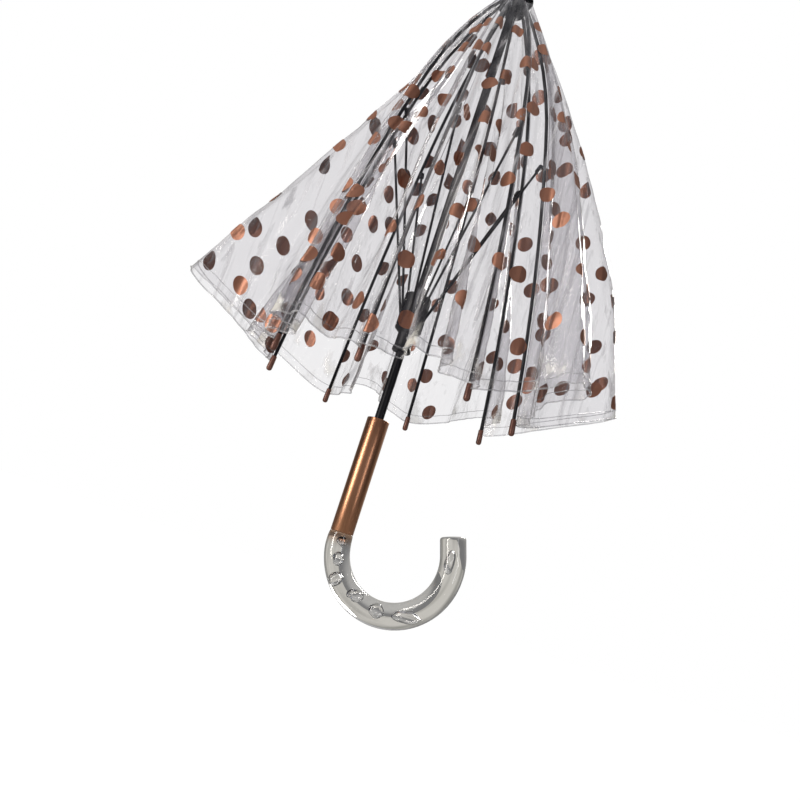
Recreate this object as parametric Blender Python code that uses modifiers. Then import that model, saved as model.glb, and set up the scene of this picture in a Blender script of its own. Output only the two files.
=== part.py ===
"""Clear dome umbrella, stored half closed, built as separate pieces in metres with +Z up the shaft."""
import math

import bmesh
import bpy
from mathutils import Matrix, Vector

MM = 0.001
NAME = "dome_umbrella"

# Frame: the origin is the middle of the grip, +Z runs up the shaft, the hook opens towards +X.
RIBS = 8
RIB_STEP = math.radians(360 / RIBS)

# Shaft and crown
SHAFT_R = 4.5 * MM
SHAFT_BORE_R = 3.7 * MM
SHAFT_BOTTOM = -24 * MM
SHAFT_TOP = 580 * MM
RUN_BORE_R = 4.8 * MM
HINGE_R = 11.5 * MM
HINGE_Z = 547 * MM
CROWN_R = 15.5 * MM
CROWN_BOTTOM = 536 * MM
CROWN_TOP = 556 * MM
RIB_SLOT_W = 4.2 * MM
CROWN_WIRE_R = 0.5 * MM

# Ribs: two tangent arcs from the crown, angles measured from straight down
RIB_LENGTH = 490 * MM
RIB_BEND = 162 * MM
RIB_ANGLES = (math.radians(33), math.radians(13), math.radians(5))
RIB_ROD_R = 1.8 * MM
EYE_R = 2.2 * MM
EYE_W = 2.6 * MM
EYE_HOLE_R = 0.85 * MM
TIP_R = 3.0 * MM
TIP_LENGTH = 16 * MM
TIP_OVERLAP = 6 * MM

# Stretchers: each is as long as the straight line from the crown hinge to its joint on the rib
JOINT_S = 206 * MM
JOINT_OFFSET = 4.3 * MM
LUG_W = 1.6 * MM
LUG_R = 1.8 * MM
JOINT_PIN_R = 0.7 * MM
FORK_W = 4.0 * MM
FORK_R = 2.0 * MM
FORK_LENGTH = 7 * MM
STRETCHER_R = 1.3 * MM
GAP = 0.3 * MM

# Runner, measured from its stretcher pivots
RUNNER_LOW = -35 * MM
RUNNER_HIGH = 25 * MM
RUNNER_SLEEVE_R = 8.5 * MM
RUNNER_FLANGE_R = 9.5 * MM
RUNNER_HEAD_R = 13.5 * MM
RUNNER_HEAD_LOW = -12 * MM
GROOVE_W = 3.4 * MM
GROOVE_R = 9.3 * MM
GROOVE_LOW = -10 * MM
KEYWAY_W = 3.2 * MM
KEYWAY_R = 7.0 * MM

# Catches that spring out of the back of the shaft
CATCH_AZIMUTH = math.radians(67.5)
CATCH_HEIGHTS = (("lower_catch", 100 * MM), ("upper_catch", 233 * MM))
CATCH_W = 2.2 * MM
CATCH_SLOT_W = 2.8 * MM
CATCH_SLOT_HALF = 8.5 * MM
STOP_Z = 307 * MM

# Handle
SLEEVE_R = 11.0 * MM
SLEEVE_BORE_R = 10.0 * MM
SLEEVE_HALF = 56 * MM
CORE_R = 9.7 * MM
CORE_LOW = -26 * MM
CORE_HIGH = 54.6 * MM
PIN_Z = 30 * MM
PIN_R = 1.2 * MM
HOOK_R = 12.0 * MM
HOOK_BEND_R = 54 * MM
HOOK_BEND_Z = -61 * MM
HOOK_ARC = math.radians(197)
HOOK_END = 16 * MM
SPIGOT_R = 9.7 * MM
SPIGOT_TOP = -28 * MM

# Film: each half gore runs from its rib towards the fold half way to the next rib
FILM_T = 0.30 * MM
FILM_OFFSET = 3.2 * MM
FILM_SWING = math.radians(16)
FILM_FIRST = 45 * MM
FILM_LAST = 482 * MM
FOLD_TOP = (22 * MM, 552 * MM)
FOLD_HEM = (240 * MM, 132 * MM)
FILM_SHARE_TOP = 0.20
FILM_SHARE_LOW = 0.86
FILM_ROWS = 10
FILM_COLUMNS = 4

COLOURS = {
    "black_metal": ((0.03, 0.03, 0.035), 0.6, 0.35, 1.0),
    "black_fibreglass": ((0.03, 0.03, 0.035), 0.0, 0.35, 1.0),
    "black_plastic": ((0.04, 0.04, 0.045), 0.0, 0.45, 1.0),
    "rose_metal": ((0.72, 0.42, 0.33), 1.0, 0.30, 1.0),
    "steel": ((0.55, 0.55, 0.56), 1.0, 0.30, 1.0),
    "bronze_tip": ((0.34, 0.19, 0.13), 0.7, 0.35, 1.0),
    "clear_acrylic": ((0.86, 0.88, 0.92), 0.0, 0.05, 0.35),
    "clear_film": ((0.82, 0.82, 0.86), 0.0, 0.12, 0.30),
}


def clear_scene():
    for item in list(bpy.data.objects):
        bpy.data.objects.remove(item, do_unlink=True)


def make_material(name, colour, metallic, roughness, alpha):
    material = bpy.data.materials.new(name)
    material.use_nodes = True
    shader = material.node_tree.nodes["Principled BSDF"]
    shader.inputs["Base Color"].default_value = (*colour, 1.0)
    shader.inputs["Metallic"].default_value = metallic
    shader.inputs["Roughness"].default_value = roughness
    shader.inputs["Alpha"].default_value = alpha
    material.diffuse_color = (*colour, alpha)
    return material


def evaluated(item):
    graph = bpy.context.evaluated_depsgraph_get()
    mesh = bpy.data.meshes.new_from_object(item.evaluated_get(graph))
    return mesh


def temporary(mesh):
    item = bpy.data.objects.new("work", mesh)
    bpy.context.scene.collection.objects.link(item)
    return item


def finish_mesh(form, name="mesh"):
    bmesh.ops.remove_doubles(form, verts=form.verts, dist=1e-6)
    bmesh.ops.recalc_face_normals(form, faces=form.faces)
    mesh = bpy.data.meshes.new(name)
    form.to_mesh(mesh)
    form.free()
    return mesh


def combine(base, others, operation):
    """Return base cut by, or joined to, each of the other meshes."""
    for other in others:
        item = temporary(base)
        tool = temporary(other)
        change = item.modifiers.new("change", "BOOLEAN")
        change.solver = "EXACT"
        change.operation = operation
        change.object = tool
        base = evaluated(item)
        bpy.data.objects.remove(item, do_unlink=True)
        bpy.data.objects.remove(tool, do_unlink=True)
    return base


def box(x, y, z, turn=None):
    form = bmesh.new()
    bmesh.ops.create_cube(form, size=1.0)
    size = Matrix.Diagonal((x[1] - x[0], y[1] - y[0], z[1] - z[0], 1.0))
    centre = Vector(((x[0] + x[1]) / 2, (y[0] + y[1]) / 2, (z[0] + z[1]) / 2))
    bmesh.ops.transform(form, matrix=Matrix.Translation(centre) @ size, verts=form.verts)
    if turn is not None:
        bmesh.ops.transform(form, matrix=turn, verts=form.verts)
    return finish_mesh(form)


def cylinder(radius, length, sides, turn):
    """A cylinder about its own Z, centred, then moved by turn."""
    form = bmesh.new()
    bmesh.ops.create_cone(form, cap_ends=True, segments=sides, radius1=radius, radius2=radius, depth=length)
    bmesh.ops.transform(form, matrix=turn, verts=form.verts)
    return finish_mesh(form)


def chamfered(points, size, skip=()):
    """Cut every corner of a closed outline except the skipped ones."""
    outline = []
    for index, point in enumerate(points):
        here = Vector(point)
        if index in skip:
            outline.append(here)
            continue
        for other in (Vector(points[index - 1]), Vector(points[(index + 1) % len(points)])):
            edge = other - here
            outline.append(here + edge.normalized() * min(size, edge.length * 0.4))
    return outline


def revolve(outline, steps=32, closed=True):
    """Turn an outline of (radius, height) about Z; its outer side runs from top to bottom."""
    mesh = bpy.data.meshes.new("outline")
    count = len(outline)
    edges = [(index, index + 1) for index in range(count - 1)]
    if closed:
        edges.append((count - 1, 0))
    mesh.from_pydata([(radius, 0.0, height) for radius, height in outline], edges, [])
    item = temporary(mesh)
    screw = item.modifiers.new("turn", "SCREW")
    screw.axis = "Z"
    screw.angle = math.tau
    screw.steps = steps
    screw.render_steps = steps
    screw.use_merge_vertices = True
    screw.merge_threshold = 0.00001
    turned = evaluated(item)
    bpy.data.objects.remove(item, do_unlink=True)
    form = bmesh.new()
    form.from_mesh(turned)
    return finish_mesh(form)


def curve_mesh(curve):
    item = bpy.data.objects.new("curve", curve)
    bpy.context.scene.collection.objects.link(item)
    mesh = evaluated(item)
    bpy.data.objects.remove(item, do_unlink=True)
    form = bmesh.new()
    form.from_mesh(mesh)
    return finish_mesh(form)


def rod(points, radius, radii=None, smoothness=2):
    """A round rod with flat ends along the points; radii, if given, sets its radius at each point."""
    curve = bpy.data.curves.new("rod", "CURVE")
    curve.dimensions = "3D"
    curve.bevel_depth = radius
    curve.bevel_resolution = smoothness
    curve.use_fill_caps = True
    spline = curve.splines.new("POLY")
    spline.points.add(len(points) - 1)
    for index, point in enumerate(points):
        spline.points[index].co = (*point, 1.0)
        if radii is not None:
            spline.points[index].radius = radii[index] / radius
    return curve_mesh(curve)


def plate(outline, width):
    """A flat plate: an outline in the XZ plane, centred on Y."""
    curve = bpy.data.curves.new("plate", "CURVE")
    curve.dimensions = "2D"
    curve.fill_mode = "BOTH"
    curve.extrude = width / 2
    spline = curve.splines.new("POLY")
    spline.points.add(len(outline) - 1)
    for slot, (x, z) in zip(spline.points, outline):
        slot.co = (x, z, 0.0, 1.0)
    spline.use_cyclic_u = True
    mesh = curve_mesh(curve)
    mesh.transform(Matrix.Rotation(math.pi / 2, 4, "X"))
    return mesh


def tongue(length, radius, width, sides=10):
    """A plate with a round end about the origin and a square end at -Z."""
    outline = []
    for index in range(sides + 1):
        angle = math.pi * index / sides
        outline.append((radius * math.cos(angle), radius * math.sin(angle)))
    outline += [(-radius, -length), (radius, -length)]
    return plate(outline, width)


def torus(major, minor, height, around=40, section=8):
    outline = []
    for index in range(section):
        angle = math.tau * index / section
        outline.append((major + minor * math.cos(angle), height - minor * math.sin(angle)))
    return revolve(outline, around)


def sheet_solid(rows, thickness):
    """Give a grid of points a thickness and close its edges."""
    form = bmesh.new()
    sides = []
    for sign in (0.5, -0.5):
        grid = []
        for r, row in enumerate(rows):
            line = []
            for c, point in enumerate(row):
                down = Vector(rows[min(r + 1, len(rows) - 1)][c]) - Vector(rows[max(r - 1, 0)][c])
                over = Vector(row[min(c + 1, len(row) - 1)]) - Vector(row[max(c - 1, 0)])
                normal = down.cross(over).normalized()
                line.append(form.verts.new(Vector(point) + normal * (thickness * sign)))
            grid.append(line)
        sides.append(grid)
    last_row = len(rows) - 1
    last_column = len(rows[0]) - 1
    for grid in sides:
        for r in range(last_row):
            for c in range(last_column):
                form.faces.new((grid[r][c], grid[r][c + 1], grid[r + 1][c + 1], grid[r + 1][c]))
    border = [(0, c) for c in range(last_column)]
    border += [(r, last_column) for r in range(last_row)]
    border += [(last_row, c) for c in range(last_column, 0, -1)]
    border += [(r, 0) for r in range(last_row, 0, -1)]
    top, low = sides
    for index, (r, c) in enumerate(border):
        q, d = border[(index + 1) % len(border)]
        form.faces.new((top[r][c], top[q][d], low[q][d], low[r][c]))
    return finish_mesh(form)


def arc_reach(start, end, length, along):
    """Outward and downward travel along an arc whose direction turns from start to end."""
    bend = (end - start) / length
    now = start + bend * along
    return (math.cos(start) - math.cos(now)) / bend, (math.sin(now) - math.sin(start)) / bend


def rib_angle(along):
    if along < RIB_BEND:
        return RIB_ANGLES[0] + (RIB_ANGLES[1] - RIB_ANGLES[0]) * along / RIB_BEND
    share = (along - RIB_BEND) / (RIB_LENGTH - RIB_BEND)
    return RIB_ANGLES[1] + (RIB_ANGLES[2] - RIB_ANGLES[1]) * share


def rib_point(along):
    """A point of the rib's centre line, from the crown hinge, as (outward, 0, up)."""
    out, down = arc_reach(RIB_ANGLES[0], RIB_ANGLES[1], RIB_BEND, min(along, RIB_BEND))
    if along > RIB_BEND:
        more = arc_reach(RIB_ANGLES[1], RIB_ANGLES[2], RIB_LENGTH - RIB_BEND, along - RIB_BEND)
        out += more[0]
        down += more[1]
    return Vector((out, 0.0, -down))


def rib_frame(along):
    """Place Z down the rib at this point, with X outward from it and Y unchanged."""
    angle = rib_angle(along)
    return Matrix.Translation(rib_point(along)) @ Matrix.Rotation(math.pi - angle, 4, "Y")


def joint_point():
    angle = rib_angle(JOINT_S)
    return rib_point(JOINT_S) - Vector((math.cos(angle), 0.0, math.sin(angle))) * JOINT_OFFSET


def stretcher_length():
    return joint_point().length


def runner_pivot_z():
    return HINGE_Z + 2 * joint_point().z


def cross_pin(radius, length, centre, sides=16):
    """A pin along Y."""
    turn = Matrix.Translation(centre) @ Matrix.Rotation(math.pi / 2, 4, "X")
    return cylinder(radius, length, sides, turn)


def rib_mesh():
    rod_end = RIB_LENGTH - TIP_LENGTH + TIP_OVERLAP
    steps = 16
    first = 0.8 * MM
    points = [rib_point(first + (rod_end - first) * index / steps) for index in range(steps + 1)]
    body = rod(points, RIB_ROD_R)
    joint = joint_point()
    turn = Matrix.Translation(joint) @ Matrix.Rotation(-math.pi / 2 - rib_angle(JOINT_S), 4, "Y")
    lug = tongue(JOINT_OFFSET, LUG_R, LUG_W)
    lug.transform(turn)
    body = combine(body, [
        cross_pin(EYE_R, EYE_W, Vector((0, 0, 0)), 20),
        lug,
        cross_pin(JOINT_PIN_R, FORK_W, joint, 12),
    ], "UNION")
    return combine(body, [cross_pin(EYE_HOLE_R, 6 * MM, Vector((0, 0, 0)), 16)], "DIFFERENCE")


def tip_mesh():
    """A blunt cap over the end of a rib, with a blind bore for the rod."""
    half = TIP_LENGTH / 2
    bore = RIB_ROD_R + GAP
    outline = [(0.0, half), (TIP_R * 0.42, half - 0.15 * MM), (TIP_R * 0.72, half - 0.7 * MM)]
    outline += [(TIP_R * 0.92, half - 1.6 * MM), (TIP_R, half - 2.8 * MM), (TIP_R * 0.9, -half + 0.5 * MM)]
    outline += [(TIP_R * 0.82, -half)]
    outline += [(bore, -half), (bore, -half + TIP_OVERLAP + GAP), (0.0, -half + TIP_OVERLAP + GAP)]
    mesh = revolve(outline, 14, closed=False)
    mesh.transform(rib_frame(RIB_LENGTH - half))
    return mesh


def stretcher_mesh():
    """A stretcher with its rib joint at the origin, running down and inward to the runner."""
    joint = joint_point()
    length = stretcher_length()
    turn = Matrix.Rotation(math.atan2(joint.x, -joint.z), 4, "Y")
    body = rod([Vector((0, 0, -(FORK_LENGTH - 2 * MM))), Vector((0, 0, -length))], STRETCHER_R)
    fork = tongue(FORK_LENGTH, FORK_R, FORK_W)
    slot = box((-5 * MM, 5 * MM), (-LUG_W / 2 - GAP, LUG_W / 2 + GAP), (-3 * MM, 5 * MM))
    fork = combine(fork, [slot, cross_pin(JOINT_PIN_R + GAP, 8 * MM, Vector((0, 0, 0)), 12)], "DIFFERENCE")
    end = Vector((0, 0, -length))
    body = combine(body, [fork, cross_pin(LUG_R, 2 * STRETCHER_R * 0.98, end, 20)], "UNION")
    body = combine(body, [cross_pin(JOINT_PIN_R, 6 * MM, end, 12)], "DIFFERENCE")
    body.transform(turn)
    return body


def fold_point(along):
    """A point on the straight fold half way between two ribs, in the frame of the rib's hinge."""
    share = along / RIB_LENGTH
    reach = FOLD_TOP[0] + (FOLD_HEM[0] - FOLD_TOP[0]) * share
    height = FOLD_TOP[1] + (FOLD_HEM[1] - FOLD_TOP[1]) * share
    half = RIB_STEP / 2
    return Vector((reach * math.cos(half) - HINGE_R, reach * math.sin(half), height - HINGE_Z))


def chord_gap(along):
    """How far the rib bows away from the straight line between its hinge and its tip."""
    end = rib_point(RIB_LENGTH).normalized()
    here = rib_point(along)
    return (here - end * here.dot(end)).length


def film_mesh(side):
    rows = []
    for r in range(FILM_ROWS + 1):
        down = r / FILM_ROWS
        along = FILM_FIRST + (FILM_LAST - FILM_FIRST) * down
        offset = FILM_OFFSET + chord_gap(along) * math.sin(FILM_SWING)
        inner = rib_point(along) + Vector((0.0, offset, 0.0))
        outer = fold_point(along)
        share = FILM_SHARE_TOP + (FILM_SHARE_LOW - FILM_SHARE_TOP) * min(1.0, down * 1.9)
        row = []
        for c in range(FILM_COLUMNS + 1):
            point = inner.lerp(outer, share * c / FILM_COLUMNS)
            row.append(Vector((point.x, point.y * side, point.z)))
        rows.append(row)
    return sheet_solid(rows, FILM_T)


def shaft_mesh():
    outline = chamfered([(SHAFT_R, SHAFT_TOP), (SHAFT_R, SHAFT_BOTTOM),
                         (SHAFT_BORE_R, SHAFT_BOTTOM), (SHAFT_BORE_R, SHAFT_TOP)], 0.2 * MM)
    body = revolve(outline, 24)
    cutters = []
    for _, height in CATCH_HEIGHTS:
        turn = Matrix.Translation((0, 0, height)) @ Matrix.Rotation(CATCH_AZIMUTH, 4, "Z")
        cutters.append(box((1 * MM, 9 * MM), (-CATCH_SLOT_W / 2, CATCH_SLOT_W / 2),
                           (-CATCH_SLOT_HALF, CATCH_SLOT_HALF), turn))
    cutters.append(cross_pin(PIN_R + GAP, 14 * MM, Vector((0, 0, PIN_Z))))
    cutters.append(cross_pin(PIN_R + GAP, 14 * MM, Vector((0, 0, STOP_Z))))
    return combine(body, cutters, "DIFFERENCE")


def catch_mesh(tooth_up):
    """A flat catch: its wide foot stays inside the shaft and its tooth stands out of the slot."""
    flip = 1 if tooth_up else -1
    outline = [(0.8, -13), (3.2, -13), (3.2, -8), (6.3, -2), (6.3, 7.6), (5.9, 8),
               (3.2, 8), (3.2, 13), (0.8, 13)]
    return plate([(x * MM, z * flip * MM) for x, z in outline], CATCH_W)


def crown_mesh():
    outline = chamfered([(CROWN_R, CROWN_TOP), (CROWN_R, CROWN_BOTTOM + 2 * MM),
                         (CROWN_R - 3 * MM, CROWN_BOTTOM), (RUN_BORE_R, CROWN_BOTTOM),
                         (RUN_BORE_R, CROWN_TOP)], 0.5 * MM)
    body = revolve(outline, 48)
    ceiling = HINGE_Z + EYE_R + 1.3 * MM
    cutters = []
    for index in range(RIBS):
        turn = Matrix.Rotation(index * RIB_STEP, 4, "Z")
        cutters.append(box((HINGE_R - EYE_R - 0.8 * MM, 20 * MM), (-RIB_SLOT_W / 2, RIB_SLOT_W / 2),
                           (CROWN_BOTTOM - 5 * MM, ceiling), turn))
    cutters.append(torus(HINGE_R, CROWN_WIRE_R + GAP, HINGE_Z))
    return combine(body, cutters, "DIFFERENCE")


def runner_mesh():
    outline = chamfered([
        (RUNNER_HEAD_R, RUNNER_HIGH), (RUNNER_HEAD_R, RUNNER_HEAD_LOW),
        (RUNNER_SLEEVE_R, RUNNER_HEAD_LOW - 4 * MM), (RUNNER_SLEEVE_R, RUNNER_LOW + 5 * MM),
        (RUNNER_FLANGE_R, RUNNER_LOW + 4 * MM), (RUNNER_FLANGE_R, RUNNER_LOW),
        (RUN_BORE_R, RUNNER_LOW), (RUN_BORE_R, RUNNER_HIGH)], 0.6 * MM)
    body = revolve(outline, 48)
    cutters = []
    for index in range(RIBS):
        turn = Matrix.Rotation(index * RIB_STEP, 4, "Z")
        cutters.append(box((GROOVE_R, 20 * MM), (-GROOVE_W / 2, GROOVE_W / 2),
                           (GROOVE_LOW, RUNNER_HIGH + 5 * MM), turn))
    keyway = Matrix.Rotation(CATCH_AZIMUTH, 4, "Z")
    cutters.append(box((0.0, KEYWAY_R), (-KEYWAY_W / 2, KEYWAY_W / 2),
                       (RUNNER_LOW - 5 * MM, RUNNER_HIGH + 5 * MM), keyway))
    return combine(body, cutters, "DIFFERENCE")


def cap_mesh():
    """A low domed washer that covers the top of the film."""
    outline = [(RUN_BORE_R, 560.5 * MM), (8 * MM, 560.5 * MM),
               (14 * MM, 558.9 * MM), (18.6 * MM, 555.6 * MM),
               (19.6 * MM, 552.6 * MM), (18.9 * MM, 552.0 * MM), (17.6 * MM, 554.0 * MM),
               (16.4 * MM, CROWN_TOP + GAP), (RUN_BORE_R, CROWN_TOP + GAP)]
    return revolve(outline, 40)


def ferrule_mesh():
    outline = [(0.0, 605 * MM), (2.4 * MM, 605 * MM), (3.8 * MM, 603 * MM), (4.6 * MM, 600 * MM),
               (5.6 * MM, 566 * MM), (6.4 * MM, 565 * MM), (6.4 * MM, 563.3 * MM), (RUN_BORE_R, 563.3 * MM),
               (RUN_BORE_R, 581 * MM), (0.0, 581 * MM)]
    return revolve(outline, 32, closed=False)


def ring_mesh(outer, inner, high, low, chamfer, steps=40):
    return revolve(chamfered([(outer, high), (outer, low), (inner, low), (inner, high)], chamfer), steps)


def core_mesh():
    body = ring_mesh(CORE_R, RUN_BORE_R, CORE_HIGH, CORE_LOW, 0.5 * MM, 32)
    return combine(body, [cross_pin(PIN_R + GAP, 30 * MM, Vector((0, 0, PIN_Z)))], "DIFFERENCE")


def hook_mesh():
    """The clear rod: a spigot inside the sleeve, a shoulder, the bend and a short straight end."""
    shoulder = -SLEEVE_HALF - GAP
    stations = [(SPIGOT_TOP, SPIGOT_R - 0.5 * MM), (SPIGOT_TOP - 0.5 * MM, SPIGOT_R), (shoulder, SPIGOT_R),
                (shoulder - 0.01 * MM, HOOK_R - 1.0 * MM), (shoulder - 0.4 * MM, HOOK_R - 0.3 * MM),
                (shoulder - 1.2 * MM, HOOK_R), (HOOK_BEND_Z, HOOK_R)]
    points = [Vector((0.0, 0.0, height)) for height, _ in stations]
    radii = [radius for _, radius in stations]
    centre = Vector((HOOK_BEND_R, 0.0, HOOK_BEND_Z))
    steps = 38
    for index in range(1, steps + 1):
        angle = HOOK_ARC * index / steps
        points.append(centre - Vector((math.cos(angle), 0.0, math.sin(angle))) * HOOK_BEND_R)
        radii.append(HOOK_R)
    start = points[-1]
    along = Vector((math.sin(HOOK_ARC), 0.0, -math.cos(HOOK_ARC)))
    for distance, radius in ((HOOK_END - 1.0 * MM, HOOK_R), (HOOK_END - 0.3 * MM, HOOK_R - 0.3 * MM),
                             (HOOK_END, HOOK_R - 1.0 * MM)):
        points.append(start + along * distance)
        radii.append(radius)
    return rod(points, HOOK_R, radii, 4)


def build():
    clear_scene()
    collection = bpy.data.collections.new(NAME)
    bpy.context.scene.collection.children.link(collection)
    materials = {name: make_material(name, *values) for name, values in COLOURS.items()}

    def add(name, mesh, material, parent=None, location=(0, 0, 0), turn=0.0):
        mesh.name = name
        mesh.materials.clear()
        mesh.materials.append(materials[material])
        item = bpy.data.objects.new(name, mesh)
        collection.objects.link(item)
        item.parent = parent
        item.location = location
        item.rotation_euler = (0, 0, turn)
        item.data.shade_smooth()
        item.data.set_sharp_from_angle(angle=math.radians(32))
        return item

    add("shaft", shaft_mesh(), "black_metal")
    add("crown_notch", crown_mesh(), "black_plastic")
    add("crown_wire", torus(HINGE_R, CROWN_WIRE_R, HINGE_Z), "steel")
    add("canopy_cap", cap_mesh(), "black_plastic")
    add("ferrule_collar", ring_mesh(8 * MM, RUN_BORE_R, 563.0 * MM, 560.8 * MM, 0.4 * MM), "rose_metal")
    add("ferrule", ferrule_mesh(), "rose_metal")
    add("stop_pin", cross_pin(PIN_R, 12 * MM, Vector((0, 0, STOP_Z))), "steel")
    sleeve = ring_mesh(SLEEVE_R, SLEEVE_BORE_R, SLEEVE_HALF, -SLEEVE_HALF, 0.35 * MM, 48)
    add("handle_sleeve", sleeve, "rose_metal")
    add("handle_core", core_mesh(), "black_plastic")
    add("handle_pin", cross_pin(PIN_R, 18.6 * MM, Vector((0, 0, PIN_Z))), "steel")
    add("handle_hook", hook_mesh(), "clear_acrylic")
    add("runner", runner_mesh(), "black_plastic", location=(0, 0, runner_pivot_z()))
    for name, height in CATCH_HEIGHTS:
        add(name, catch_mesh(name == "upper_catch"), "steel", location=(0, 0, height), turn=CATCH_AZIMUTH)

    rib = rib_mesh()
    tip = tip_mesh()
    stretcher = stretcher_mesh()
    films = {"a": film_mesh(1), "b": film_mesh(-1)}
    for index in range(RIBS):
        turn = index * RIB_STEP
        hinge = (HINGE_R * math.cos(turn), HINGE_R * math.sin(turn), HINGE_Z)
        number = index + 1
        arm = add(f"rib_{number}", rib.copy(), "black_fibreglass", location=hinge, turn=turn)
        add(f"rib_tip_{number}", tip.copy(), "bronze_tip", parent=arm)
        add(f"stretcher_{number}", stretcher.copy(), "black_metal", parent=arm, location=joint_point())
        for letter, film in films.items():
            add(f"film_{number}{letter}", film.copy(), "clear_film", parent=arm)


build()
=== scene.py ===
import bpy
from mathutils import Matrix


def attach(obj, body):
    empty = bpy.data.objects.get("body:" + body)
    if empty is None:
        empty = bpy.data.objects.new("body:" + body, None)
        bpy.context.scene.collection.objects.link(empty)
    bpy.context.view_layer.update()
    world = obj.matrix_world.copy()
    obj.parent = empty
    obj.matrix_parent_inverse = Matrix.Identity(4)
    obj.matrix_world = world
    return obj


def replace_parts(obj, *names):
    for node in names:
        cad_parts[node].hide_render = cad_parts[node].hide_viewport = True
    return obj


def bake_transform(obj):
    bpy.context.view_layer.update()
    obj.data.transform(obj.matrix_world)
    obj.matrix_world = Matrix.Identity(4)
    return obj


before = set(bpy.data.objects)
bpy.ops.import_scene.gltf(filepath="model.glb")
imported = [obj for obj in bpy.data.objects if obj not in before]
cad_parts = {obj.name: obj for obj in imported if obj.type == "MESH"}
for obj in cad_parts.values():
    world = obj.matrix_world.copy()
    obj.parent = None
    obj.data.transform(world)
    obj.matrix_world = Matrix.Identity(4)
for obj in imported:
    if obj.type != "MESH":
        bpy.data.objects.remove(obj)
import math
import random

import bmesh
import bpy
import numpy as np
from mathutils import Matrix, Vector, noise

MM = 0.001
RIBS = 8
STEP = math.tau / RIBS
HALF = STEP / 2

# The ribs, as in the CAD: two tangent arcs from the crown hinge
HINGE_R = 11.5 * MM
HINGE_Z = 547 * MM
RIB_LENGTH = 490 * MM
RIB_BEND = 162 * MM
RIB_ANGLES = (math.radians(33), math.radians(13), math.radians(5))

# Film
FILM_LIFT = 2.5 * MM
FILM_TOP = 10 * MM
FILM_LOW = 479 * MM
FOLD_TOP = (18 * MM, 551 * MM)
# Reach and height of each fold at the hem, then the depth of its pleats.
# The near folds (the sixth and seventh) hang in and the others swing out.
FOLD_REACH = (238 * MM, 222 * MM, 210 * MM, 216 * MM, 222 * MM, 164 * MM, 158 * MM, 196 * MM)
FOLD_HEIGHT = (130 * MM, 122 * MM, 118 * MM, 120 * MM, 124 * MM, 84 * MM, 80 * MM, 106 * MM)
FOLD_PLEAT = (3 * MM, 4 * MM, 5 * MM, 4 * MM, 4 * MM, 13 * MM, 14 * MM, 8 * MM)
# How far each fold bows out half way down
FOLD_BOW = (34 * MM, 10 * MM, 0.0, -8 * MM, -12 * MM, 0.0, 0.0, 20 * MM)
ROWS = 84
COLUMNS = 26
DOT_R = 8.5 * MM

# Handle
SLEEVE_R = 11 * MM
SLEEVE_HALF = 56 * MM
HOOK_R = 12 * MM
HOOK_BEND_R = 54 * MM
HOOK_BEND_Z = -61 * MM
HOOK_ARC = math.radians(197)
HOOK_END = 16 * MM


def write_size():
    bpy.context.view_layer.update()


# ---------------------------------------------------------------- materials

def new_material(name):
    material = bpy.data.materials.new(name)
    material.use_nodes = True
    return material, material.node_tree.nodes, material.node_tree.links


def node(nodes, kind, **values):
    made = nodes.new(kind)
    for key, value in values.items():
        if key in made.inputs:
            made.inputs[key].default_value = value
        else:
            setattr(made, key, value)
    return made


def stretched_noise(nodes, links, stretch, detail=3.0):
    where = node(nodes, "ShaderNodeTexCoord")
    mapping = node(nodes, "ShaderNodeMapping")
    mapping.inputs["Scale"].default_value = stretch
    links.new(where.outputs["Object"], mapping.inputs["Vector"])
    texture = node(nodes, "ShaderNodeTexNoise", Scale=1.0, Detail=detail)
    links.new(mapping.outputs["Vector"], texture.inputs["Vector"])
    return texture.outputs["Fac"]


def ramp(nodes, links, source, stops):
    made = node(nodes, "ShaderNodeValToRGB")
    while len(made.color_ramp.elements) < len(stops):
        made.color_ramp.elements.new(0.5)
    for element, (place, colour) in zip(made.color_ramp.elements, stops):
        element.position = place
        element.color = (*colour, 1.0)
    links.new(source, made.inputs["Fac"])
    return made.outputs["Color"]


def bump(nodes, links, source, strength, distance, before=None):
    made = node(nodes, "ShaderNodeBump", Strength=strength, Distance=distance)
    links.new(source, made.inputs["Height"])
    if before is not None:
        links.new(before, made.inputs["Normal"])
    return made.outputs["Normal"]


def metal(name, dark, light, roughness, stretch, depth, metallic=1.0, shine=0.5):
    """Metal or paint whose tone, roughness and relief follow a stretched grain."""
    material, nodes, links = new_material(name)
    shader = nodes["Principled BSDF"]
    shader.inputs["Metallic"].default_value = metallic
    shader.inputs["Specular IOR Level"].default_value = shine
    grain = stretched_noise(nodes, links, stretch)
    links.new(ramp(nodes, links, grain, [(0.3, dark), (0.7, light)]), shader.inputs["Base Color"])
    spread = node(nodes, "ShaderNodeMapRange")
    spread.inputs["To Min"].default_value = roughness * 0.8
    spread.inputs["To Max"].default_value = roughness * 1.25
    links.new(grain, spread.inputs["Value"])
    links.new(spread.outputs["Result"], shader.inputs["Roughness"])
    links.new(bump(nodes, links, grain, 0.25, depth), shader.inputs["Normal"])
    return material


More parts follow.
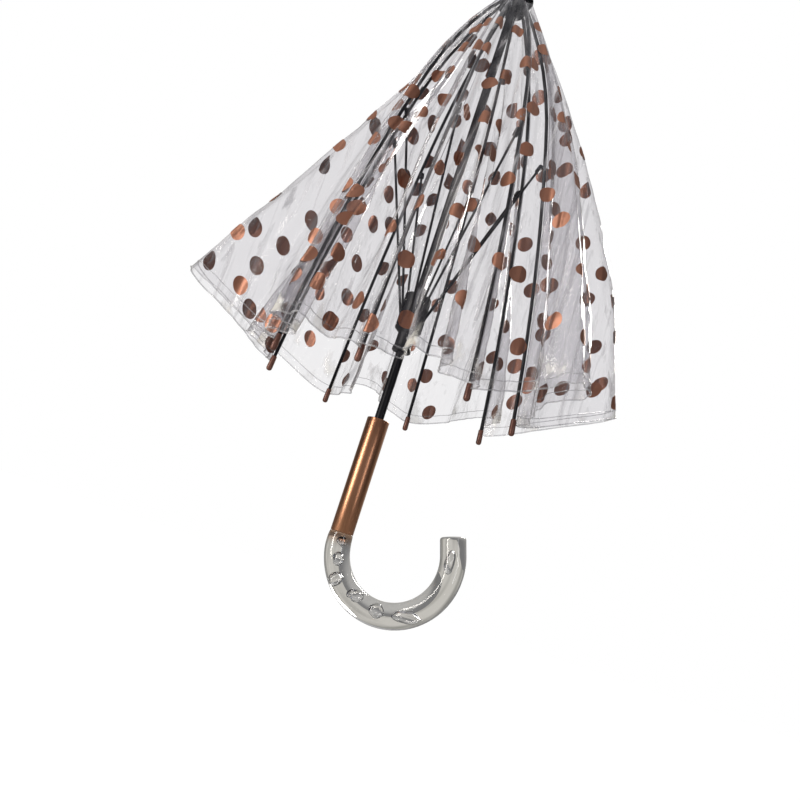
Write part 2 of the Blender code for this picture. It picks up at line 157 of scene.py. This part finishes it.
def film_material(name, haze, edge, tint, dark, light):
    """Clear soft film: a milky gloss over clear, stronger at grazing angles and, as painted glints, on
    the creases near the hem; painted highlight and shade streaks run along it.
    """
    material, nodes, links = new_material(name)
    gloss = nodes["Principled BSDF"]
    gloss.inputs["Roughness"].default_value = 0.07
    gloss.inputs["Specular IOR Level"].default_value = 0.9
    gloss.inputs["Coat Weight"].default_value = 0.6
    gloss.inputs["Coat Roughness"].default_value = 0.05
    streaks = stretched_noise(nodes, links, (115, 115, 3), 4.0)
    crumple = stretched_noise(nodes, links, (36, 36, 24), 5.0)
    # painted highlight and shade streaks: the gloss base colour runs from dark to light along the
    # stretched streak noise, which also drives the bump
    body = ramp(nodes, links, streaks, [(0.35, dark), (0.7, light)])
    first = bump(nodes, links, streaks, 0.6, 1.0 * MM)
    amount = node(nodes, "ShaderNodeAttribute", attribute_name="creases")
    relief = node(nodes, "ShaderNodeMath", operation="MULTIPLY")
    links.new(crumple, relief.inputs[0])
    links.new(amount.outputs["Fac"], relief.inputs[1])
    # painted glints: where the crumple relief is high near the hem, the base colour turns pale cream
    glint = node(nodes, "ShaderNodeMapRange")
    glint.inputs["From Min"].default_value = 0.50
    glint.inputs["From Max"].default_value = 0.60
    links.new(relief.outputs[0], glint.inputs["Value"])
    painted_glint_colour = node(nodes, "ShaderNodeMix", data_type="RGBA")
    painted_glint_colour.inputs[7].default_value = (1.0, 0.97, 0.88, 1.0)
    links.new(glint.outputs["Result"], painted_glint_colour.inputs[0])
    links.new(body, painted_glint_colour.inputs[6])
    links.new(painted_glint_colour.outputs[2], gloss.inputs["Base Color"])
    normal = bump(nodes, links, relief.outputs[0], 1.0, 11 * MM, first)
    links.new(normal, gloss.inputs["Normal"])
    clear = node(nodes, "ShaderNodeBsdfTransparent")
    clear.inputs["Color"].default_value = (*tint, 1.0)
    facing = node(nodes, "ShaderNodeLayerWeight", Blend=0.5)
    links.new(normal, facing.inputs["Normal"])
    power = node(nodes, "ShaderNodeMath", operation="POWER")
    power.inputs[1].default_value = 2.2
    links.new(facing.outputs["Facing"], power.inputs[0])
    rim = node(nodes, "ShaderNodeMath", operation="MULTIPLY_ADD")
    rim.inputs[1].default_value = edge
    rim.inputs[2].default_value = haze
    links.new(power.outputs[0], rim.inputs[0])
    # painted streak highlights: where the streak noise is high, the mix turns further toward the milky
    # gloss
    painted_streak_highlight = node(nodes, "ShaderNodeMapRange")
    painted_streak_highlight.inputs["From Min"].default_value = 0.56
    painted_streak_highlight.inputs["From Max"].default_value = 0.70
    painted_streak_highlight.inputs["To Max"].default_value = 0.42
    links.new(streaks, painted_streak_highlight.inputs["Value"])
    # painted glints and painted streak highlights raise the gloss share of the mix
    more = node(nodes, "ShaderNodeMath", operation="MULTIPLY_ADD")
    more.inputs[1].default_value = 0.4
    links.new(glint.outputs["Result"], more.inputs[0])
    links.new(painted_streak_highlight.outputs["Result"], more.inputs[2])
    total = node(nodes, "ShaderNodeMath", operation="ADD", use_clamp=True)
    links.new(rim.outputs[0], total.inputs[0])
    links.new(more.outputs[0], total.inputs[1])
    mix = node(nodes, "ShaderNodeMixShader")
    links.new(total.outputs[0], mix.inputs["Fac"])
    links.new(clear.outputs[0], mix.inputs[1])
    links.new(gloss.outputs[0], mix.inputs[2])
    links.new(mix.outputs[0], nodes["Material Output"].inputs["Surface"])
    return material


def acrylic_material(name, rim):
    """Clear acrylic whose base colour turns copper brown where it meets the copper sleeve, a painted
    reflection of the sleeve; rim mixes a painted dark shade into surfaces seen edge on.
    """
    material, nodes, links = new_material(name)
    shader = nodes["Principled BSDF"]
    shader.inputs["Transmission Weight"].default_value = 1.0
    shader.inputs["IOR"].default_value = 1.49
    # painted reflection of the copper sleeve: the base colour is copper brown up to just below the
    # sleeve and fades to clear further down
    where = node(nodes, "ShaderNodeTexCoord")
    parts = node(nodes, "ShaderNodeSeparateXYZ")
    links.new(where.outputs["Object"], parts.inputs[0])
    near = node(nodes, "ShaderNodeMapRange", interpolation_type="SMOOTHSTEP")
    near.inputs["From Min"].default_value = -70 * MM
    near.inputs["From Max"].default_value = -57 * MM
    links.new(parts.outputs["Z"], near.inputs["Value"])
    side = node(nodes, "ShaderNodeMapRange")
    side.inputs["From Min"].default_value = 20 * MM
    side.inputs["From Max"].default_value = 30 * MM
    side.inputs["To Min"].default_value = 1.0
    side.inputs["To Max"].default_value = 0.0
    links.new(parts.outputs["X"], side.inputs["Value"])
    amount = node(nodes, "ShaderNodeMath", operation="MULTIPLY")
    links.new(near.outputs["Result"], amount.inputs[0])
    links.new(side.outputs["Result"], amount.inputs[1])
    tint = ramp(nodes, links, amount.outputs[0], [(0.0, (0.95, 0.95, 0.96)), (1.0, (0.66, 0.40, 0.26))])
    links.new(tint, shader.inputs["Base Color"])
    wear = stretched_noise(nodes, links, (40, 40, 40))
    spread = node(nodes, "ShaderNodeMapRange")
    spread.inputs["To Min"].default_value = 0.0
    spread.inputs["To Max"].default_value = 0.04
    links.new(wear, spread.inputs["Value"])
    links.new(spread.outputs["Result"], shader.inputs["Roughness"])
    links.new(bump(nodes, links, wear, 0.08, 0.5 * MM), shader.inputs["Normal"])
    if rim:
        # painted shade: a dark diffuse is mixed in where the surface is seen edge on, drawing the
        # bubbles' dark rims
        shade = node(nodes, "ShaderNodeBsdfDiffuse")
        shade.inputs["Color"].default_value = (0.03, 0.035, 0.06, 1.0)
        facing = node(nodes, "ShaderNodeLayerWeight", Blend=0.5)
        edge = ramp(nodes, links, facing.outputs["Facing"], [(0.40, (0, 0, 0)), (0.72, (rim, rim, rim))])
        mix = node(nodes, "ShaderNodeMixShader")
        links.new(edge, mix.inputs["Fac"])
        links.new(shader.outputs[0], mix.inputs[1])
        links.new(shade.outputs[0], mix.inputs[2])
        links.new(mix.outputs[0], nodes["Material Output"].inputs["Surface"])
    return material


ROSE = metal("rose_gold_brushed", (0.38, 0.175, 0.095), (0.52, 0.26, 0.15),
             roughness=0.30, stretch=(500, 500, 6), depth=0.003 * MM)
BLACK = metal("black_satin_paint", (0.003, 0.003, 0.004), (0.010, 0.010, 0.013),
              roughness=0.36, stretch=(90, 90, 30), depth=0.03 * MM, metallic=0.0, shine=0.2)
PLASTIC = metal("black_plastic_moulded", (0.006, 0.006, 0.008), (0.022, 0.022, 0.026),
                roughness=0.42, stretch=(120, 120, 120), depth=0.05 * MM, metallic=0.0, shine=0.35)
STEEL = metal("bright_steel", (0.42, 0.42, 0.44), (0.66, 0.66, 0.68),
              roughness=0.28, stretch=(200, 200, 40), depth=0.1 * MM)
BRONZE = metal("copper_brown_cap", (0.12, 0.048, 0.034), (0.22, 0.095, 0.065),
               roughness=0.36, stretch=(150, 150, 60), depth=0.05 * MM, metallic=0.3)
DOTS = metal("copper_foil_dot", (0.30, 0.13, 0.08), (0.40, 0.185, 0.12),
             roughness=0.42, stretch=(25, 25, 12), depth=0.05 * MM, metallic=0.6)
# dark and light are the tones of each film's painted highlight and shade streaks
FILM = film_material("clear_soft_film", haze=0.05, edge=0.60, tint=(0.895, 0.888, 0.898),
                     dark=(0.20, 0.20, 0.23), light=(0.72, 0.71, 0.74))
HEM = film_material("hem_weld_film", haze=0.25, edge=0.50, tint=(0.93, 0.93, 0.94),
                    dark=(0.6, 0.6, 0.62), light=(0.92, 0.92, 0.93))
ACRYLIC = acrylic_material("clear_acrylic_rod", 0.0)
# 0.85 sets how much painted dark shade the bubble rims get
BUBBLE = acrylic_material("air_bubble_wall", 0.85)


# ---------------------------------------------------------------- meshes

def add_mesh(name, points, faces, material, smooth=True):
    mesh = bpy.data.meshes.new(name)
    mesh.from_pydata([tuple(point) for point in points], [], faces)
    mesh.validate()
    if smooth:
        mesh.shade_smooth()
    mesh.materials.append(material)
    item = bpy.data.objects.new(name, mesh)
    bpy.context.scene.collection.objects.link(item)
    return item


def tube(points, radius, sides=8):
    """Points and faces of a thin round bead along a line."""
    made = []
    faces = []
    count = len(points)
    for index, point in enumerate(points):
        along = (points[min(index + 1, count - 1)] - points[max(index - 1, 0)]).normalized()
        across = along.orthogonal() if index == 0 else across - along * across.dot(along)
        across.normalize()
        over = along.cross(across)
        for side in range(sides):
            angle = math.tau * side / sides
            made.append(point + across * (radius * math.cos(angle)) + over * (radius * math.sin(angle)))
    for index in range(count - 1):
        for side in range(sides):
            after = (side + 1) % sides
            low = index * sides
            faces.append((low + side, low + after, low + sides + after, low + sides + side))
    faces.append(tuple(range(sides - 1, -1, -1)))
    faces.append(tuple(range((count - 1) * sides, count * sides)))
    return made, faces


def lathe(name, outline, material, steps=96):
    """Turn a closed outline of (radius, height) about Z."""
    points = []
    faces = []
    count = len(outline)
    for step in range(steps):
        angle = math.tau * step / steps
        for radius, height in outline:
            points.append((radius * math.cos(angle), radius * math.sin(angle), height))
    for step in range(steps):
        after = (step + 1) % steps
        for index in range(count):
            other = (index + 1) % count
            here = step * count
            there = after * count
            faces.append((here + index, here + other, there + other, there + index))
    item = add_mesh(name, points, faces, material)
    form = bmesh.new()
    form.from_mesh(item.data)
    bmesh.ops.remove_doubles(form, verts=form.verts, dist=1e-6)
    bmesh.ops.recalc_face_normals(form, faces=form.faces)
    form.to_mesh(item.data)
    form.free()
    item.data.set_sharp_from_angle(angle=math.radians(50))
    return item


# ---------------------------------------------------------------- film shape

def arc_reach(start, end, length, along):
    bend = (end - start) / length
    now = start + bend * along
    return (math.cos(start) - math.cos(now)) / bend, (math.sin(now) - math.sin(start)) / bend


def rib_angle(along):
    if along < RIB_BEND:
        return RIB_ANGLES[0] + (RIB_ANGLES[1] - RIB_ANGLES[0]) * along / RIB_BEND
    share = (along - RIB_BEND) / (RIB_LENGTH - RIB_BEND)
    return RIB_ANGLES[1] + (RIB_ANGLES[2] - RIB_ANGLES[1]) * share


def rib_point(along, lift=0.0):
    """A point above the rib's centre line, in the upright plane of the rib."""
    out, down = arc_reach(RIB_ANGLES[0], RIB_ANGLES[1], RIB_BEND, min(along, RIB_BEND))
    if along > RIB_BEND:
        more = arc_reach(RIB_ANGLES[1], RIB_ANGLES[2], RIB_LENGTH - RIB_BEND, along - RIB_BEND)
        out += more[0]
        down += more[1]
    angle = rib_angle(along)
    return Vector((HINGE_R + out + lift * math.cos(angle), 0.0, HINGE_Z - down + lift * math.sin(angle)))


def fold_point(fold, along):
    """The loose outer fold between two ribs; each fold hangs a little differently."""
    share = along / RIB_LENGTH
    drift = noise.noise(Vector((fold * 7.3, share * 2.2, 1.5)))
    ripple = noise.noise(Vector((fold * 3.1, share * 6.0, 8.5)))
    reach = FOLD_TOP[0] + (FOLD_REACH[fold] - FOLD_TOP[0]) * share
    reach += share * (drift * 7 * MM + ripple * 3 * MM) + FOLD_BOW[fold] * math.sin(math.pi * share)
    height = FOLD_TOP[1] + (FOLD_HEIGHT[fold] - FOLD_TOP[1]) * share
    return Vector((reach * math.cos(HALF), reach * math.sin(HALF), height))


def smooth_film(fold, across, along):
    start = rib_point(along, FILM_LIFT)
    end = fold_point(fold, along)
    width = (end - start).length
    leave = Vector((0.0, 1.0, 0.0)) * width * 0.85
    arrive = Vector((-math.sin(HALF), math.cos(HALF), 0.0)) * width * 0.75
    outward = Vector((end.y - start.y, start.x - end.x, 0.0)).normalized()
    pleat = FOLD_PLEAT[fold] * min(1.0, along / RIB_LENGTH * 1.3) * math.sin(3 * math.pi * across)
    t = across
    return (start * (2 * t ** 3 - 3 * t ** 2 + 1) + leave * (t ** 3 - 2 * t ** 2 + t)
            + end * (3 * t ** 2 - 2 * t ** 3) + arrive * (t ** 3 - t ** 2) + outward * pleat)


def film_normal(fold, across, along):
    low, high = max(across - 0.02, 0.0), min(across + 0.02, 1.0)
    over = smooth_film(fold, high, along) - smooth_film(fold, low, along)
    down = smooth_film(fold, across, along + MM) - smooth_film(fold, across, along - MM)
    return down.cross(over).normalized()


def film_point(rib, side, across, along, lift=0.0):
    """A point of the wrinkled film in the row frame, across from 0 at the rib to 1 at the fold."""
    fold = rib if side > 0 else (rib - 1) % RIBS
    point = smooth_film(fold, across, along)
    normal = film_normal(fold, across, along)
    share = along / RIB_LENGTH
    width = 0.02 + 0.13 * share
    hold = min(1.0, across * 6) * min(1.0, (1 - across) * 5)
    seed = rib * 11.7 + side * 4.1
    pleat = noise.noise(Vector((across * width * 70 + seed, share * 2.0, seed))) * 5.0 * MM
    wrinkle = noise.noise(Vector((across * width * 230 + seed, share * 4.0, seed + 5))) * 1.0 * MM
    crumple = noise.noise(Vector((across * width * 90, share * 40, seed + 9))) * 1.6 * MM
    hem = max(0.0, (share - 0.72) / 0.28)
    move = pleat * min(1.0, share * 2.2) + wrinkle * min(1.0, share * 3) + crumple * hem * (1 - hem) * 3
    move *= hold
    point = point + normal * (move + lift)
    point.y *= side
    return Matrix.Rotation(rib * STEP, 3, "Z") @ point


def film_rows():
    return [FILM_TOP + (FILM_LOW - FILM_TOP) * row / ROWS for row in range(ROWS + 1)]


def film_half(rib, side, name):
    points = []
    for along in film_rows():
        for column in range(COLUMNS + 1):
            points.append(film_point(rib, side, column / COLUMNS, along))
    faces = []
    wide = COLUMNS + 1
    for row in range(ROWS):
        for column in range(COLUMNS):
            corner = row * wide + column
            face = (corner, corner + wide, corner + wide + 1, corner + 1)
            faces.append(face if side > 0 else face[::-1])
    sheet = add_mesh(name, points, faces, FILM)
    # creases sets the crumple relief, strongest near the hem, and with it where the painted glints show
    creases = sheet.data.attributes.new("creases", "FLOAT", "POINT")
    shares = [along / RIB_LENGTH for along in film_rows() for _ in range(wide)]
    amounts = [0.12 + 0.88 * max(0.0, (share - 0.45) / 0.55) ** 1.3 for share in shares]
    creases.data.foreach_set("value", amounts)
    return sheet


def hem_lines(rib, side, name):
    """The two weld lines of the hem."""
    points = []
    faces = []
    for along, radius in ((FILM_LOW, 0.7 * MM), (FILM_LOW - 9 * MM, 0.45 * MM)):
        line = [film_point(rib, side, step / 44, along, 0.2 * MM) for step in range(45)]
        made, shape = tube(line, radius, 6)
        faces += [tuple(index + len(points) for index in face) for face in shape]
        points += made
    return add_mesh(name, points, faces, HEM)


def across_table(fold, along):
    """Distances from the rib across the film at one height, for evenly spaced shares."""
    line = [smooth_film(fold, step / 32, along) for step in range(33)]
    total = [0.0]
    for first, second in zip(line, line[1:]):
        total.append(total[-1] + (second - first).length)
    return total


def across_at(table, distance):
    return float(np.interp(distance, table, np.linspace(0.0, 1.0, len(table))))


def dot_places(rib, side):
    """Scattered dot centres, kept apart from each other."""
    chance = random.Random(rib * 37 + (5 if side > 0 else 91))
    places = []
    tries = 0
    while tries < 500 and len(places) < 14:
        tries += 1
        along = chance.uniform(0.05, 0.468)
        across = chance.uniform(0.0, 1.0)
        width = 0.012 + 0.135 * (along / RIB_LENGTH) ** 0.9
        if across * width < 6 * MM or (1 - across) * width < 2 * MM:
            continue
        here = (across * width, along)
        if all(math.dist(here, other[2]) > 35 * MM for other in places):
            places.append((across, along, here))
    return places


def dots(rib, side, name):
    fold = rib if side > 0 else (rib - 1) % RIBS
    points = []
    faces = []
    for across, along, _ in dot_places(rib, side):
        middle = float(np.interp(across, np.linspace(0.0, 1.0, 33), across_table(fold, along)))
        base = len(points)
        points.append(film_point(rib, side, across, along, 0.4 * MM))
        rings = 4
        spokes = 28
        for ring in range(1, rings + 1):
            radius = DOT_R * ring / rings
            for spoke in range(spokes):
                angle = math.tau * spoke / spokes
                s = min(max(along + radius * math.sin(angle), FILM_TOP), FILM_LOW)
                u = min(across_at(across_table(fold, s), middle + radius * math.cos(angle)), 0.995)
                points.append(film_point(rib, side, u, s, 0.4 * MM))
        for spoke in range(spokes):
            after = (spoke + 1) % spokes
            faces.append((base, base + 1 + spoke, base + 1 + after))
            for ring in range(1, rings):
                low = base + 1 + (ring - 1) * spokes
                high = low + spokes
                faces.append((low + spoke, high + spoke, high + after, low + after))
    if side < 0:
        faces = [face[::-1] for face in faces]
    return add_mesh(name, points, faces, DOTS)


def flat_area():
    """Area of half a gore cut flat: its width is an eighth of half the open dome's girth."""
    total = 0.0
    for along in film_rows():
        point = rib_point(along) - Vector((HINGE_R, 0.0, HINGE_Z))
        turn = math.radians(30)
        radius = HINGE_R + point.x * math.cos(turn) - point.z * math.sin(turn)
        total += radius * HALF * (FILM_LOW - FILM_TOP) / (ROWS + 1)
    return total


def build_film():
    area = flat_area()
    for rib in range(RIBS):
        spin = Matrix.Rotation(rib * STEP, 3, "Z")
        for letter, side in (("a", 1), ("b", -1)):
            number = f"{rib + 1}{letter}"
            sheet = film_half(rib, side, f"film_sheet_{number}")
            hem = hem_lines(rib, side, f"film_hem_{number}")
            spots = dots(rib, side, f"film_dots_{number}")
            start = spin @ rib_point(0.2)
            for piece in (sheet, hem, spots):
                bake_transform(piece)
            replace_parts(sheet, f"film_{number}")


# ---------------------------------------------------------------- ribs and handle

def build_rib_trim():
    for rib in range(RIBS):
        spin = Matrix.Rotation(rib * STEP, 3, "Z")
        line = [spin @ rib_point(FILM_TOP + (FILM_LOW - FILM_TOP) * step / 60, FILM_LIFT + 0.3 * MM)
                for step in range(61)]
        points, faces = tube(line, 0.55 * MM, 6)
        seam = add_mesh(f"gore_weld_{rib + 1}", points, faces, HEM)
        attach(seam, f"rib_{rib + 1}")


def hook_line():
    """Centres of the clear rod and its direction, from the sleeve round to the cut end."""
    places = [(Vector((0.0, 0.0, HOOK_BEND_Z)), 0.0)]
    steps = 110
    for index in range(1, steps + 1):
        angle = HOOK_ARC * index / steps
        places.append((Vector((HOOK_BEND_R * (1 - math.cos(angle)), 0.0,
                               HOOK_BEND_Z - HOOK_BEND_R * math.sin(angle))), angle))
    return places


def hook_at(angle, out=0.0, side=0.0):
    """A point in the rod at an angle round the bend, moved outward and sideways."""
    reach = HOOK_BEND_R + out
    return Vector((HOOK_BEND_R - reach * math.cos(angle), side, HOOK_BEND_Z - reach * math.sin(angle)))


def build_hook():
    shoulder = -SLEEVE_HALF - 0.3 * MM
    stations = ((-28 * MM, 8.9 * MM), (-28.8 * MM, 9.7 * MM), (shoulder, 9.7 * MM),
                (shoulder - 0.02 * MM, 10.7 * MM), (shoulder - 0.3 * MM, 11.0 * MM),
                (shoulder - 2.0 * MM, 11.3 * MM))
    rings = [(Vector((0, 0, height)), 0.0, radius) for height, radius in stations]
    grow = math.radians(9)
    for centre, turn in hook_line():
        rings.append((centre, turn, HOOK_R - 0.4 * MM * max(0.0, 1 - turn / grow)))
    start = rings[-1][0]
    along = Vector((math.sin(HOOK_ARC), 0.0, -math.cos(HOOK_ARC)))
    round_r = 2.6 * MM
    rings.append((start + along * 6 * MM, HOOK_ARC, HOOK_R))
    for step in range(7):
        angle = math.pi / 2 * step / 6
        centre = start + along * (HOOK_END - round_r * (1 - math.sin(angle)))
        rings.append((centre, HOOK_ARC, HOOK_R - round_r * (1 - math.cos(angle))))
    sides = 64
    points = []
    faces = []
    for centre, turn, radius in rings:
        across = Vector((math.cos(turn), 0.0, math.sin(turn)))
        for side in range(sides):
            angle = math.tau * side / sides
            sideways = Vector((0.0, radius * math.sin(angle), 0.0))
            points.append(centre + across * (radius * math.cos(angle)) + sideways)
    for index in range(len(rings) - 1):
        for side in range(sides):
            after = (side + 1) % sides
            low = index * sides
            faces.append((low + side, low + sides + side, low + sides + after, low + after))
    faces.append(tuple(range(sides)))
    faces.append(tuple(range(len(points) - 1, len(points) - sides - 1, -1)))
    hook = add_mesh("clear_hook", points, faces, ACRYLIC)
    form = bmesh.new()
    form.from_mesh(hook.data)
    bmesh.ops.recalc_face_normals(form, faces=form.faces)
    form.to_mesh(hook.data)
    form.free()
    hook.data.set_sharp_from_angle(angle=math.radians(60))
    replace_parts(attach(hook, "shaft_body"), "handle_hook")


def build_bubbles():
    """Air bubbles in the rod: closed surfaces that face inward, so light leaves the plastic there."""
    # Degrees round the bend, outward shift, half length, half width (mm) and lean (degrees)
    spots = [(3, -2.2, 4.0, 3.6, 0), (21, -1.0, 6.6, 3.8, 0), (39, 3.0, 6.0, 4.8, 10),
             (63, -2.4, 8.0, 4.0, -15), (90, -1.8, 7.4, 4.2, 5), (119, 1.0, 13.0, 3.6, 12),
             (190, -2.0, 11.0, 3.1, 4)]
    for index, (degrees, out, long, thin, lean) in enumerate(spots):
        angle = math.radians(degrees)
        form = bmesh.new()
        bmesh.ops.create_icosphere(form, subdivisions=4, radius=1.0)
        for vert in form.verts:
            wobble = 1 + 0.3 * noise.noise(vert.co * 1.4 + Vector((index * 3.1, 0, 0)))
            vert.co = Vector((vert.co.x * thin * wobble, vert.co.y * 3.2, vert.co.z * long)) * MM
        spin = Matrix.Rotation(-angle + math.radians(lean), 4, "Y")
        place = Matrix.Translation(hook_at(angle, out * MM)) @ spin
        bmesh.ops.transform(form, matrix=place, verts=form.verts)
        bmesh.ops.reverse_faces(form, faces=form.faces)
        mesh = bpy.data.meshes.new("bubble")
        form.to_mesh(mesh)
        form.free()
        mesh.shade_smooth()
        mesh.materials.append(BUBBLE)
        bubble = bpy.data.objects.new(f"hook_bubble_{index + 1}", mesh)
        bpy.context.scene.collection.objects.link(bubble)
        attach(bubble, "shaft_body")


def build_sleeve():
    bore = 10 * MM
    high = SLEEVE_HALF
    outline = [(SLEEVE_R, high - 0.5 * MM), (SLEEVE_R, -high + 0.5 * MM),
               (SLEEVE_R - 0.2 * MM, -high + 0.1 * MM), (SLEEVE_R - 0.5 * MM, -high),
               (bore, -high), (bore, high), (SLEEVE_R - 0.5 * MM, high),
               (SLEEVE_R - 0.2 * MM, high - 0.1 * MM)]
    sleeve = lathe("rose_sleeve", outline, ROSE)
    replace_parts(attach(sleeve, "shaft_body"), "handle_sleeve")


LOOKS = {"shaft": BLACK, "crown_notch": PLASTIC, "crown_wire": STEEL, "canopy_cap": PLASTIC,
         "ferrule_collar": ROSE, "ferrule": ROSE, "stop_pin": STEEL, "handle_core": PLASTIC,
         "handle_pin": STEEL, "runner": PLASTIC, "lower_catch": STEEL, "upper_catch": STEEL}


def dress_cad():
    for name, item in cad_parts.items():
        if item.hide_render:
            continue
        look = LOOKS.get(name, BRONZE if name.startswith("rib_tip") else BLACK)
        item.data.materials.clear()
        item.data.materials.append(look)
        if "custom_normal" in item.data.attributes:
            item.data.attributes.remove(item.data.attributes["custom_normal"])
        item.data.shade_smooth()
        weld = item.modifiers.new("weld", "WELD")
        weld.merge_threshold = 1e-5
        split = item.modifiers.new("split", "EDGE_SPLIT")
        split.split_angle = math.radians(35)


# ---------------------------------------------------------------- set

def build_camera():
    azimuth, elevation, roll = math.radians(13.4), math.radians(-11.9), math.radians(17.9)
    back = Vector((math.sin(azimuth) * math.cos(elevation), -math.cos(azimuth) * math.cos(elevation),
                   math.sin(elevation)))
    right = Vector((math.cos(azimuth), math.sin(azimuth), 0.0))
    up = back.cross(right)
    tilted_right = right * math.cos(roll) + up * math.sin(roll)
    tilted_up = up * math.cos(roll) - right * math.sin(roll)
    target = Vector((0.0134, 0.0032, 0.0814))
    data = bpy.data.cameras.new("camera")
    data.lens = 32.6
    data.sensor_width = 36
    data.clip_start = 0.02
    camera = bpy.data.objects.new("camera", data)
    bpy.context.scene.collection.objects.link(camera)
    pose = Matrix((tilted_right, tilted_up, back)).transposed().to_4x4()
    camera.matrix_world = Matrix.Translation(target + back * 0.705) @ pose
    bpy.context.scene.camera = camera
    return camera


def area_light(name, place, target, size, power, colour):
    data = bpy.data.lights.new(name, "AREA")
    data.shape = "RECTANGLE"
    data.size, data.size_y = size
    data.energy = power
    data.color = colour
    light = bpy.data.objects.new(name, data)
    bpy.context.scene.collection.objects.link(light)
    place = Vector(place)
    aim = (place - Vector(target)).to_track_quat("Z", "Y").to_matrix().to_4x4()
    light.matrix_world = Matrix.Translation(place) @ aim
    return light


def build_room():
    """White to the camera; a soft grey room with darker sides to everything else."""
    world = bpy.data.worlds.new("studio")
    bpy.context.scene.world = world
    world.use_nodes = True
    nodes, links = world.node_tree.nodes, world.node_tree.links
    plain = nodes["Background"]
    plain.inputs["Color"].default_value = (1.0, 1.0, 1.0, 1.0)
    plain.inputs["Strength"].default_value = 1.0
    room = node(nodes, "ShaderNodeBackground", Strength=1.0)
    where = node(nodes, "ShaderNodeTexCoord")
    parts = node(nodes, "ShaderNodeSeparateXYZ")
    links.new(where.outputs["Generated"], parts.inputs[0])
    depth = node(nodes, "ShaderNodeMapRange")
    depth.inputs["From Min"].default_value = -1.0
    links.new(parts.outputs["Y"], depth.inputs["Value"])
    patches = node(nodes, "ShaderNodeTexNoise", Scale=3.0, Detail=1.0)
    links.new(where.outputs["Generated"], patches.inputs["Vector"])
    shift = node(nodes, "ShaderNodeMath", operation="MULTIPLY_ADD")
    shift.inputs[1].default_value = 0.5
    shift.inputs[2].default_value = -0.25
    links.new(patches.outputs["Fac"], shift.inputs[0])
    spread = node(nodes, "ShaderNodeMath", operation="ADD", use_clamp=True)
    links.new(depth.outputs["Result"], spread.inputs[0])
    links.new(shift.outputs[0], spread.inputs[1])
    stops = [(0.0, (0.40, 0.40, 0.43)), (0.25, (0.12, 0.12, 0.14)), (0.60, (0.08, 0.08, 0.09)),
             (0.80, (0.24, 0.235, 0.21)), (1.0, (0.58, 0.56, 0.51))]
    behind = ramp(nodes, links, spread.outputs[0], stops)
    above = ramp(nodes, links, parts.outputs["Z"], [(0.6, (0.0, 0.0, 0.0)), (0.82, (0.55, 0.55, 0.55))])
    lighter = node(nodes, "ShaderNodeMix", data_type="RGBA", blend_type="LIGHTEN")
    lighter.inputs[0].default_value = 1.0
    links.new(behind, lighter.inputs[6])
    links.new(above, lighter.inputs[7])
    links.new(lighter.outputs[2], room.inputs["Color"])
    path = node(nodes, "ShaderNodeLightPath")
    mix = node(nodes, "ShaderNodeMixShader")
    links.new(path.outputs["Is Camera Ray"], mix.inputs["Fac"])
    links.new(room.outputs[0], mix.inputs[1])
    links.new(plain.outputs[0], mix.inputs[2])
    links.new(mix.outputs[0], nodes["World Output"].inputs["Surface"])


def build_lights():
    area_light("key", (-0.85, -1.0, 0.35), (0, 0, 0.2), (0.3, 1.3), 16, (1.0, 0.96, 0.90))
    area_light("fill", (1.1, -0.9, 0.2), (0, 0, 0.2), (0.25, 0.9), 2.5, (0.93, 0.95, 1.0))
    area_light("rim", (0.4, 1.2, 0.9), (0, 0, 0.2), (0.7, 0.4), 16, (1.0, 0.98, 0.93))


def build_floor():
    floor_mesh = bpy.data.meshes.new("floor")
    size = 6.0
    corners = [(-size, -size, 0), (size, -size, 0), (size, size, 0), (-size, size, 0)]
    floor_mesh.from_pydata(corners, [], [(0, 1, 2, 3)])
    floor = bpy.data.objects.new("floor", floor_mesh)
    bpy.context.scene.collection.objects.link(floor)
    floor.location = (0, 0, -0.45)
    material, floor_nodes, floor_links = new_material("pale_floor")
    shader = floor_nodes["Principled BSDF"]
    shader.inputs["Roughness"].default_value = 0.9
    shader.inputs["Base Color"].default_value = (0.45, 0.45, 0.44, 1.0)
    shader.inputs["Emission Color"].default_value = (1.0, 1.0, 1.0, 1.0)
    seen = node(floor_nodes, "ShaderNodeLightPath")
    glow = node(floor_nodes, "ShaderNodeMath", operation="MULTIPLY")
    glow.inputs[1].default_value = 0.85
    floor_links.new(seen.outputs["Is Camera Ray"], glow.inputs[0])
    floor_links.new(glow.outputs[0], shader.inputs["Emission Strength"])
    floor_mesh.materials.append(material)


def set_render():
    scene = bpy.context.scene
    scene.view_settings.view_transform = "Standard"
    scene.cycles.transparent_max_bounces = 48
    scene.cycles.max_bounces = 20
    scene.cycles.transmission_bounces = 16


write_size()
build_film()
build_rib_trim()
build_hook()
build_bubbles()
build_sleeve()
dress_cad()
build_camera()
build_room()
build_lights()
build_floor()
set_render()
write_size()
